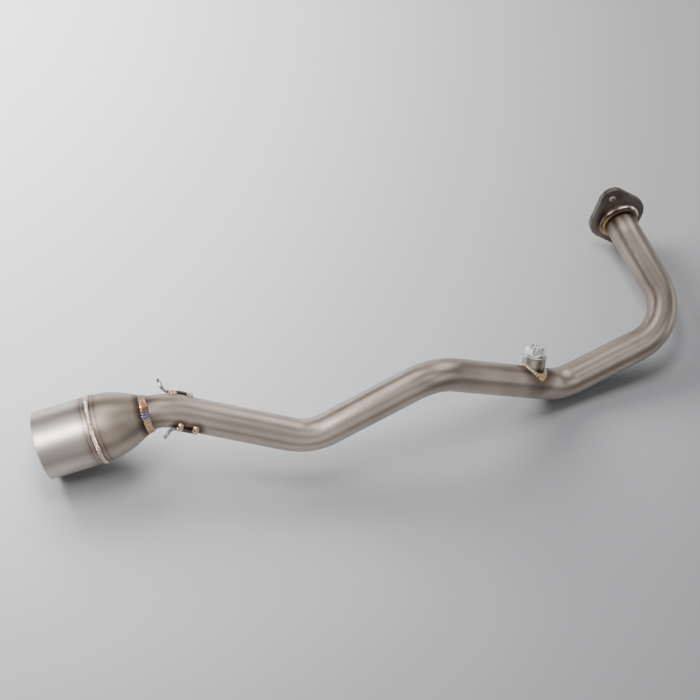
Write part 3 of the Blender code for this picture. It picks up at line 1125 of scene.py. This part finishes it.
BANDED: tuple[Stop, ...] = (
    (0.0, (0.12, 0.075, 0.06, 0.95)),
    (0.09, (0.27, 0.20, 0.165, 0.75)),
    (0.26, (0.30, 0.23, 0.19, 0.65)),
    (0.34, (0.15, 0.09, 0.075, 0.80)),
    (0.44, (0.28, 0.22, 0.19, 0.60)),
    (1.0, (0.42, 0.36, 0.32, 0.0)),
)
SOOTED: tuple[Stop, ...] = (
    (0.0, (0.06, 0.04, 0.03, 0.95)),
    (0.35, (0.12, 0.085, 0.07, 0.85)),
    (0.65, (0.20, 0.155, 0.135, 0.60)),
    (1.0, (0.36, 0.31, 0.27, 0.0)),
)
VIOLET: tuple[Stop, ...] = (
    (0.0, (0.08, 0.055, 0.055, 0.95)),
    (0.12, (0.15, 0.13, 0.18, 0.90)),
    (0.22, (0.17, 0.12, 0.11, 0.80)),
    (0.5, (0.27, 0.21, 0.175, 0.60)),
    (1.0, (0.42, 0.34, 0.29, 0.0)),
)
RUSTED: tuple[Stop, ...] = (
    (0.0, (0.10, 0.05, 0.035, 0.8)),
    (0.5, (0.17, 0.10, 0.08, 0.5)),
    (1.0, (0.2, 0.16, 0.13, 0.0)),
)
# Heat browning with painted shade, which darkens one side of the flange's collar.
BROWNED_AND_SHADE: tuple[Stop, ...] = (
    (0.0, (0.15, 0.095, 0.06, 0.95)),
    (0.75, (0.24, 0.16, 0.11, 0.85)),
    (1.0, (0.6, 0.5, 0.42, 0.0)),
)
BURNT: tuple[Stop, ...] = (
    (0.0, (0.05, 0.03, 0.02, 0.9)),
    (0.6, (0.12, 0.08, 0.06, 0.8)),
    (1.0, (0.4, 0.36, 0.33, 0.0)),
)
HALO: tuple[Stop, ...] = (
    (0.0, (0.05, 0.03, 0.022, 0.95)),
    (0.5, (0.07, 0.045, 0.035, 0.9)),
    (0.75, (0.18, 0.125, 0.10, 0.6)),
    (1.0, (0.4, 0.34, 0.28, 0.0)),
)
CUP_ROSE: tuple[Stop, ...] = (
    (0.0, (0.95, 0.80, 0.72)),
    (0.3, (0.90, 0.66, 0.54)),
    (0.55, (0.70, 0.46, 0.36)),
    (0.85, (0.94, 0.82, 0.76)),
)
CONE_PATCHES: tuple[Stop, ...] = (
    (0.0, (0.34, 0.18, 0.10)),
    (0.04, (0.24, 0.14, 0.11)),
    (0.055, (0.20, 0.22, 0.40)),
    (0.095, (0.28, 0.30, 0.46)),
    (0.11, (0.80, 0.58, 0.28)),
    (0.20, (0.84, 0.60, 0.34)),
    (0.31, (0.28, 0.16, 0.10)),
    (0.60, (0.55, 0.33, 0.18)),
    (0.80, (0.42, 0.38, 0.42)),
    (0.885, (0.36, 0.32, 0.36)),
    (0.90, (0.86, 0.50, 0.28)),
    (0.975, (0.74, 0.40, 0.20)),
)
COLLAR_COPPER: tuple[Stop, ...] = (
    (0.0, (0.12, 0.08, 0.06)),
    (0.16, (0.14, 0.09, 0.065)),
    (0.22, (0.40, 0.24, 0.14)),
    (0.5, (0.40, 0.25, 0.15)),
    (0.66, (0.56, 0.38, 0.20)),
    (0.88, (0.50, 0.32, 0.16)),
    (0.93, (0.14, 0.09, 0.065)),
)
SADDLE_COPPER: tuple[Stop, ...] = (
    (0.0, (0.92, 0.80, 0.66)),
    (0.25, (0.72, 0.42, 0.20)),
    (0.45, (0.98, 0.93, 0.80)),
    (0.62, (0.98, 0.90, 0.72)),
    (0.69, (0.90, 0.54, 0.32)),
    (0.81, (0.90, 0.54, 0.32)),
    (0.88, (0.98, 0.90, 0.74)),
)
TACK_GOLD: tuple[Stop, ...] = (
    (0.0, (0.80, 0.58, 0.38)),
    (0.5, (0.86, 0.66, 0.48)),
    (1.0, (0.70, 0.46, 0.28)),
)


# Sub-assemblies


@dataclass(frozen=True)
class OutletEnd:
    """The cup and the reducer cone with their two seams."""

    smoother: Smoother
    cup: SatinSteel = SatinSteel("cup_steel_finish", (0.54, 0.485, 0.435), (0.43, 0.38, 0.335), 0.42)
    cone: SatinSteel = SatinSteel("cone_steel_finish", (0.455, 0.38, 0.31), (0.36, 0.295, 0.24), 0.42)
    cup_metal: WeldMetal = WeldMetal("cup_seam_metal", CUP_ROSE, (0.22, 0.13, 0.095), 0.16, 1.0)
    cone_metal: WeldMetal = WeldMetal("cone_seam_metal", CONE_PATCHES)
    seam_reach: float = 13.0 * MM
    seam_start: float = 2.4 * MM
    seam_waver: float = 0.16
    lip_reach: float = 8.0 * MM
    lip_start: float = 0.2 * MM

    def build(self) -> None:
        """Dresses the cup and cone and lays the seams."""
        joint = RIM.origin + RIM.along * SIZES.cup_length
        seam = HeatTint(
            Spread.PLANE, joint, self.seam_reach, BANDED, self.seam_start, self.seam_waver, axis=RIM.along
        )
        lip = HeatTint(Spread.PLANE, LIP.origin, self.lip_reach, SOOTED, self.lip_start, axis=LIP.along)
        self.smoother.dress("outlet_cup", self.cup.material([seam]))
        self.smoother.dress("reducer_cone", self.cone.material([seam, lip]))
        CupSeam("cup_weld", self.cup_metal, Ripples(2.5 * MM, 0.9), SIZES.cup).build()
        ConeSeam("cone_weld", self.cone_metal, Ripples(3.0 * MM, 0.7, 1.0), SIZES.cone_end_radius).build()


@dataclass(frozen=True)
class FlangeEnd:
    """The stud flange, its collar and the collar's fillet."""

    smoother: Smoother
    plate: FlangeSteel = FlangeSteel("flange_steel_finish")
    collar: BrightMetal = BrightMetal("collar_finish", (0.93, 0.84, 0.77), 0.24)
    metal: WeldMetal = WeldMetal("collar_seam_metal", COLLAR_COPPER)
    rust_reach: float = 12.0 * MM
    rust_start: float = 21.0 * MM
    dark_side_clock: float = math.radians(285.0)
    dark_side_out: float = 3.0 * MM
    dark_side_reach: float = 19.0 * MM
    bead_out: float = 2.0 * MM

    def build(self) -> None:
        """Dresses the flange and the collar and lays the fillet."""
        rust = HeatTint(Spread.AXIS, FACE.origin, self.rust_reach, RUSTED, self.rust_start, axis=FACE.along)
        self.smoother.dress("head_flange", self.plate.material([rust]))
        # Partly heat browning and partly painted shade: the collar is darkened round one side, next to the fillet.
        side = FACE.point(SIZES.collar_face, self.dark_side_clock, SIZES.pipe + self.dark_side_out)
        browned = HeatTint(Spread.POINT, side, self.dark_side_reach, BROWNED_AND_SHADE)
        self.smoother.dress("flange_collar", self.collar.material([browned]))
        CollarSeam("collar_weld", self.metal, Ripples(1.9 * MM, seed=2.0), SIZES.pipe + self.bead_out).build()


@dataclass(frozen=True)
class SensorPort:
    """The sensor boss, its saddle bead, the washer and the plug."""

    smoother: Smoother
    boss: BrightMetal = BrightMetal("boss_finish", (0.56, 0.47, 0.39), 0.34)
    washer: BrightMetal = BrightMetal("washer_finish", (0.95, 0.95, 0.95), 0.3)
    plug: BrightMetal = BrightMetal("plug_finish", (0.98, 0.98, 0.98), 0.18, 0.45, 900.0)
    metal: WeldMetal = WeldMetal("boss_seam_metal", SADDLE_COPPER, (0.12, 0.065, 0.04), sparkle=1.0)
    foot_height: float = 14.0 * MM
    foot_reach: float = 5.0 * MM
    foot_start: float = 1.5 * MM
    bead_out: float = 2.0 * MM

    def build(self) -> None:
        """Dresses the stack and lays the saddle bead."""
        foot = BOSS.origin + BOSS.along * self.foot_height
        heat = HeatTint(Spread.PLANE, foot, self.foot_reach, SOOTED, self.foot_start, axis=BOSS.along)
        self.smoother.dress("sensor_boss", self.boss.material([heat]))
        self.smoother.dress("plug_washer", self.washer.material())
        self.smoother.dress("boss_plug", self.plug.material())
        BossSaddle("boss_weld", self.metal, Ripples(3.0 * MM, 0.9, 3.0), SIZES.boss + self.bead_out).build()


@dataclass(frozen=True)
class HookPlace:
    """Where a spring hook sits on the tube."""

    name: str
    distance: float
    clock: float

    def seat(self, offset: float) -> Vector:
        """The point of the tube's surface under the hook, at an offset along the tube."""
        station = RUN.at(self.distance + offset)
        return station.origin + station.reach(self.clock, SIZES.pipe)

    def tip(self, seat: Vector) -> Vector:
        """The free end of the wire, the part of it that is farthest from its seat."""
        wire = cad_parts[f"{self.name}_spring_hook"]
        return max((wire.matrix_world @ v.co for v in wire.data.vertices), key=lambda p: (p - seat).length)


@dataclass(frozen=True)
class SpringHooks:
    """The two wire hooks with their tacks."""

    smoother: Smoother
    places: tuple[HookPlace, ...] = (
        HookPlace("upper", 132.0 * MM, math.radians(-80.0)),
        HookPlace("lower", 142.5 * MM, math.radians(82.0)),
    )
    front: float = 2.8 * MM
    rear: float = 18.4 * MM
    wire_tone: Colour = (0.52, 0.50, 0.47)
    wire_roughness: float = 0.10
    tack_valley: Colour = (0.30, 0.16, 0.09)
    halo_reach: float = 13.5 * MM
    burnt_reach: float = 12.0 * MM
    cut_reach: float = 4.0 * MM

    def tints(self) -> list[HeatTint]:
        """Dark halos on the tube round the tacks.

        Returns:
            One tint for each tack.
        """
        return [
            HeatTint(Spread.POINT, place.seat(offset), self.halo_reach, HALO)
            for place in self.places
            for offset in (self.front, self.rear)
        ]

    def build(self) -> None:
        """Dresses the wires and lays the tacks."""
        for place in self.places:
            middle = place.seat((self.front + self.rear) / 2)
            heat = HeatTint(Spread.POINT, middle, self.burnt_reach, BURNT)
            cut = HeatTint(Spread.POINT, place.tip(middle), self.cut_reach, BURNT)
            wire = BrightMetal(f"{place.name}_wire_finish", self.wire_tone, self.wire_roughness)
            self.smoother.dress(f"{place.name}_spring_hook", wire.material([heat, cut]))
            for end, offset in (("front", self.front), ("rear", self.rear)):
                node = f"{place.name}_hook_tack_{end}"
                metal = WeldMetal(f"{node}_metal", TACK_GOLD, self.tack_valley)
                HookTack(node, place.distance + offset, place.clock, metal).build()


@dataclass(frozen=True)
class BentPipe:
    """The bent tube with the heat tints of everything that is welded to it."""

    smoother: Smoother
    hook_tints: Sequence[HeatTint]
    steel: SatinSteel = SatinSteel("pipe_steel_finish")
    cone_reach: float = 22.0 * MM
    cone_start: float = 5.0 * MM
    boss_height: float = 14.5 * MM
    boss_reach: float = 19.0 * MM
    boss_start: float = 14.6 * MM
    flange_reach: float = 18.0 * MM
    flange_start: float = 8.0 * MM

    def build(self) -> None:
        """Dresses the tube."""
        foot = BOSS.point(self.boss_height, 0.0, 0.0)
        tints = [
            HeatTint(Spread.PLANE, LIP.origin, self.cone_reach, VIOLET, self.cone_start, axis=LIP.along),
            HeatTint(Spread.POINT, foot, self.boss_reach, SOOTED, self.boss_start),
            HeatTint(Spread.PLANE, FACE.origin, self.flange_reach, SOOTED, self.flange_start, axis=FACE.along),
            *self.hook_tints,
        ]
        self.smoother.dress("header_pipe", self.steel.material(tints))


# The studio


@dataclass(frozen=True)
class Softbox:
    """A rectangular studio light that faces a target."""

    name: str
    centre: Point
    target: Point
    width: float
    height: float
    power: float
    spread: float = 180.0
    floor_only: bool = False

    def hang(self, backdrop: bpy.types.Collection) -> None:
        """Adds the light.

        Args:
            backdrop: All that a floor light shines on.
        """
        data = bpy.data.lights.new(self.name, "AREA")
        data.shape = "RECTANGLE"
        data.size, data.size_y = self.width, self.height
        data.energy = self.power
        data.spread = math.radians(self.spread)
        light = bpy.data.objects.new(self.name, data)
        light.location = self.centre
        aim = Vector(self.target) - Vector(self.centre)
        light.rotation_euler = aim.to_track_quat("-Z", "Y").to_euler()
        light.visible_camera = False
        if self.floor_only:
            light.light_linking.receiver_collection = backdrop
        bpy.context.scene.collection.objects.link(light)


@dataclass(frozen=True)
class Floor:
    """The plain floor, with painted light beyond the camera's view: its colour turns paler there, where the lamps give
    it little light.
    """

    half_width: float = 6.0
    tone: Colour = (0.192, 0.194, 0.20)
    far_painted_light_tone: Colour = (0.80, 0.80, 0.81)
    far_from: float = 0.9
    far_to: float = 2.2
    roughness: float = 0.75
    gloss: float = 0.2

    def lay(self) -> bpy.types.Collection:
        """Adds the floor.

        Returns:
            The floor alone, for the lights that shine on nothing else.
        """
        half = self.half_width
        mesh = bpy.data.meshes.new("floor")
        mesh.from_pydata([(-half, -half, 0), (half, -half, 0), (half, half, 0), (-half, half, 0)], [], [(0, 1, 2, 3)])
        floor = bpy.data.objects.new("floor", mesh)
        bpy.context.scene.collection.objects.link(floor)
        graph = ShaderGraph("floor_finish")
        # Painted light: the floor's colour turns pale away from the pipe, in place of lamp light that hardly reaches
        # there.
        far = graph.length(graph.place()).smooth(self.far_from, self.far_to)
        tone = graph.mix(far, self.tone, self.far_painted_light_tone)
        put_finish(floor, graph.surface(Base_Color=tone, Roughness=self.roughness, Specular_IOR_Level=self.gloss))
        backdrop = bpy.data.collections.new("backdrop")
        backdrop.objects.link(floor)
        return backdrop


@dataclass(frozen=True)
class PhotoCamera:
    """The camera at the photograph's place, with its focal length in pixels of the frame."""

    place: Point = (-0.5267, -0.5891, 1.6693)
    right: Point = (0.9417, -0.2733, 0.1963)
    view: Point = (0.2824, 0.3244, -0.9028)
    focal_pixels: float = 1700.0
    frame_pixels: float = 700.0
    sensor: float = 36.0
    clip_end: float = 50.0

    def set_up(self) -> None:
        """Adds the camera and makes it the scene's."""
        data = bpy.data.cameras.new("camera")
        data.sensor_width = self.sensor
        data.lens = self.focal_pixels / self.frame_pixels * self.sensor
        data.clip_end = self.clip_end
        camera = bpy.data.objects.new("camera", data)
        view = Vector(self.view).normalized()
        right = Vector(self.right)
        right = (right - view * right.dot(view)).normalized()
        columns = Matrix((right, right.cross(view), -view)).transposed().to_4x4()
        camera.matrix_world = Matrix.Translation(Vector(self.place)) @ columns
        bpy.context.scene.collection.objects.link(camera)
        bpy.context.scene.camera = camera


@dataclass(frozen=True)
class Studio:
    """The floor, the lights, the room and the camera."""

    floor: Floor = Floor()
    camera: PhotoCamera = PhotoCamera()
    room_tone: Colour = (0.9, 0.9, 0.92)
    room_strength: float = 0.09
    lights: tuple[Softbox, ...] = (
        Softbox("cup_softbox", (-0.93, 0.00, 0.95), (-0.38, -0.04, 0.03), 0.40, 0.38, 1.2, spread=44.0),
        Softbox("near_left_softbox", (-1.30, -0.95, 1.50), (-0.65, 0.0, 0.0), 1.0, 0.8, 2.0),
        Softbox("near_low_softbox", (-0.40, -1.30, 0.75), (-0.25, 0.0, 0.0), 1.2, 0.9, 3.0),
        Softbox("near_right_softbox", (1.10, -0.95, 1.50), (0.55, 0.0, 0.0), 1.2, 0.8, 4.2),
        Softbox("far_left_softbox", (-0.50, 1.00, 1.45), (-0.25, 0.0, 0.0), 1.2, 0.8, 9.0),
        Softbox("far_low_strip", (0.30, 1.25, 0.30), (0.15, 0.0, 0.0), 0.8, 0.5, 1.2),
        Softbox("far_right_softbox", (1.10, 0.95, 1.45), (0.55, 0.0, 0.0), 1.0, 0.8, 5.0),
        Softbox("far_right_low_softbox", (1.10, 1.25, 0.85), (0.55, 0.0, 0.0), 0.8, 0.6, 4.2),
        Softbox("engine_side_panel", (1.85, -0.25, 0.35), (0.0, -0.1, 0.0), 1.6, 0.5, 3.6),
        Softbox("overhead_softbox", (0.30, -0.20, 1.90), (0.3, -0.2, 0.0), 0.5, 0.5, 2.4),
        Softbox("floor_gradient_light", (-0.48, 0.66, 0.54), (-0.46, 0.60, 0.0), 0.7, 0.7, 70.0, floor_only=True),
        Softbox("floor_overhead_light", (-0.28, 0.45, 1.45), (-0.15, 0.05, 0.0), 0.4, 0.4, 30.0, floor_only=True),
        Softbox("glint_light", (-0.35, -0.55, 1.45), (0.0, 0.0, 0.0), 0.15, 0.15, 0.6),
    )

    def fill_room(self) -> None:
        """Gives the room a plain soft grey."""
        world = bpy.data.worlds.new("room")
        world.use_nodes = True
        background = world.node_tree.nodes["Background"]
        background.inputs["Color"].default_value = (*self.room_tone, 1.0)
        background.inputs["Strength"].default_value = self.room_strength
        bpy.context.scene.world = world

    def build(self) -> None:
        """Sets the whole studio."""
        backdrop = self.floor.lay()
        self.fill_room()
        self.camera.set_up()
        for light in self.lights:
            light.hang(backdrop)


def main() -> None:
    """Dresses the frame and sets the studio."""
    logging.basicConfig(level=logging.INFO, format="%(name)s: %(message)s")
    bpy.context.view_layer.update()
    smoother = Smoother(SHARP_DEGREES)
    hooks = SpringHooks(smoother)
    for label, piece in (
        ("outlet end", OutletEnd(smoother)),
        ("flange end", FlangeEnd(smoother)),
        ("sensor port", SensorPort(smoother)),
        ("spring hooks", hooks),
        ("bent pipe", BentPipe(smoother, hooks.tints())),
        ("studio", Studio()),
    ):
        piece.build()
        log.info("%s done", label)


if __name__ == "__main__":
    main()
